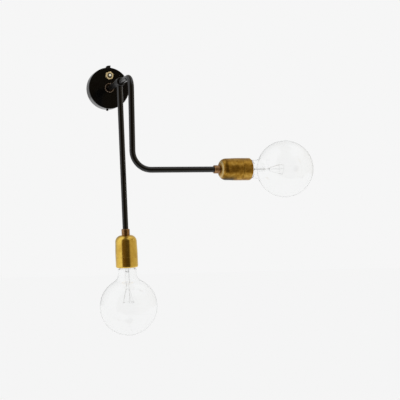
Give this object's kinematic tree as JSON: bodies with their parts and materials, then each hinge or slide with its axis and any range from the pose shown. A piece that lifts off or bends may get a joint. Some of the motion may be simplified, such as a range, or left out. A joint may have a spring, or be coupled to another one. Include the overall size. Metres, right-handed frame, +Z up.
{
  "type": "two-arm wall lamp",
  "caption": "Round wall plate with a push switch, carrying a straight and an L-shaped tube arm that swivel, each ending in a brass lamp holder with a clear globe bulb.",
  "frame": {"origin": "middle of the plate's wall face", "axes": "+X right and +Z up as seen from the room, +Y into the wall; both arms turn about Y"},
  "size_m": [0.3691, 0.218, 0.4818],
  "materials": {
    "black_metal": "gloss",
    "bracket_steel": "satin",
    "screw_steel": "satin",
    "spring_steel": "polished",
    "dark_screw": "satin",
    "polished_brass": "polished",
    "aged_brass": "aged",
    "bronze_brass": "aged",
    "pale_brass": "satin",
    "dark_bronze": "aged",
    "inner_brass": "satin",
    "switch_plastic": "matt",
    "block_plastic": "matt",
    "grommet_rubber": "matt",
    "flex_sleeve": "matt",
    "wire_sleeve": "matt",
    "porcelain": "glazed",
    "clear_glass": "clear",
    "bulb_cap_metal": "satin",
    "black_glass": "gloss",
    "solder": "satin",
    "bulb_wire": "satin",
    "filament_wire": "satin"
  },
  "bodies": {
    "wall_plate": {"canopy_cover": "black_metal", "wall_bracket": "bracket_steel", "side_screw": "dark_screw", "locking_screw": "dark_screw", "inlet_grommet": "grommet_rubber", "pivot_bush": "dark_bronze", "bush_nut": "inner_brass", "stop_pin": "bracket_steel", "switch_body": "switch_plastic", "switch_nut": "pale_brass", "switch_terminals": "inner_brass", "switch_spring": "spring_steel", "terminal_block": "block_plastic", "terminal_screws": "inner_brass", "block_screw": "screw_steel", "earth_screw": "inner_brass", "canopy_flexes": "flex_sleeve", "switch_wires": "wire_sleeve"},
    "push_button": {"switch_button": "pale_brass"},
    "arm_a": {"stem_tube": "black_metal", "retaining_collar": "bracket_steel", "collar_screw": "screw_steel", "arm_a_hub": "black_metal", "hub_screws": "screw_steel", "arm_a_tube": "black_metal", "arm_a_flex": "flex_sleeve", "stem_flex": "flex_sleeve", "holder_a_collar": "bronze_brass", "holder_a_lock_nut": "inner_brass", "holder_a_cap": "polished_brass", "holder_a_skirt": "polished_brass", "holder_a_core": "porcelain", "holder_a_terminals": "inner_brass", "holder_a_shell": "inner_brass"},
    "arm_b": {"arm_b_tube": "black_metal", "arm_b_flex": "flex_sleeve", "holder_b_collar": "bronze_brass", "holder_b_lock_nut": "inner_brass", "holder_b_cap": "aged_brass", "holder_b_skirt": "aged_brass", "holder_b_core": "porcelain", "holder_b_terminals": "inner_brass", "holder_b_shell": "inner_brass"},
    "contact_a": {"holder_a_contact": "inner_brass"},
    "contact_b": {"holder_b_contact": "inner_brass"},
    "bulb_a": {"bulb_a_glass": "clear_glass", "bulb_a_cap": "bulb_cap_metal", "bulb_a_insulator": "black_glass", "bulb_a_contact": "solder", "bulb_a_stem": "clear_glass", "bulb_a_wires": "bulb_wire", "bulb_a_filament": "filament_wire"},
    "bulb_b": {"bulb_b_glass": "clear_glass", "bulb_b_cap": "bulb_cap_metal", "bulb_b_insulator": "black_glass", "bulb_b_contact": "solder", "bulb_b_stem": "clear_glass", "bulb_b_wires": "bulb_wire", "bulb_b_filament": "filament_wire"}
  },
  "joints": [
    {"name": "arm_a_swivel", "type": "hinge", "parent": "wall_plate", "child": "arm_a", "pos_m": [0, 0, 0], "axis": [0, -1, 0], "range_deg": [-155, 155]},
    {"name": "arm_b_swivel", "type": "hinge", "parent": "arm_a", "child": "arm_b", "pos_m": [0, 0, 0], "axis": [0, -1, 0], "range_deg": [-150, 150]},
    {"name": "switch_press", "type": "slide", "parent": "wall_plate", "child": "push_button", "axis": [0, 1, 0], "range_m": [0, 0.0025], "stiffness_N_per_m": 400, "springref_m": -0.002, "deforming": ["switch_spring"]},
    {"name": "bulb_a_turn", "type": "hinge", "parent": "arm_a", "child": "contact_a", "pos_m": [0.01112, -0.094, -0.25476], "axis": [0.0436, 0, -0.999], "range_deg": [0, 1080]},
    {"name": "bulb_a_draw", "type": "slide", "parent": "contact_a", "child": "bulb_a", "axis": [0.0436, 0, -0.999], "range_m": [0, 0.0109]},
    {"name": "bulb_b_turn", "type": "hinge", "parent": "arm_b", "child": "contact_b", "pos_m": [0.14699, -0.168, -0.1522], "axis": [0.9997, 0, 0.0227], "range_deg": [0, 1080]},
    {"name": "bulb_b_draw", "type": "slide", "parent": "contact_b", "child": "bulb_b", "axis": [0.9997, 0, 0.0227], "range_m": [0, 0.0109]}
  ],
  "couplings": [
    {"joint": "bulb_a_draw", "follows": "bulb_a_turn", "m_per_rad": 0.00057757},
    {"joint": "bulb_b_draw", "follows": "bulb_b_turn", "m_per_rad": 0.00057757}
  ]
}
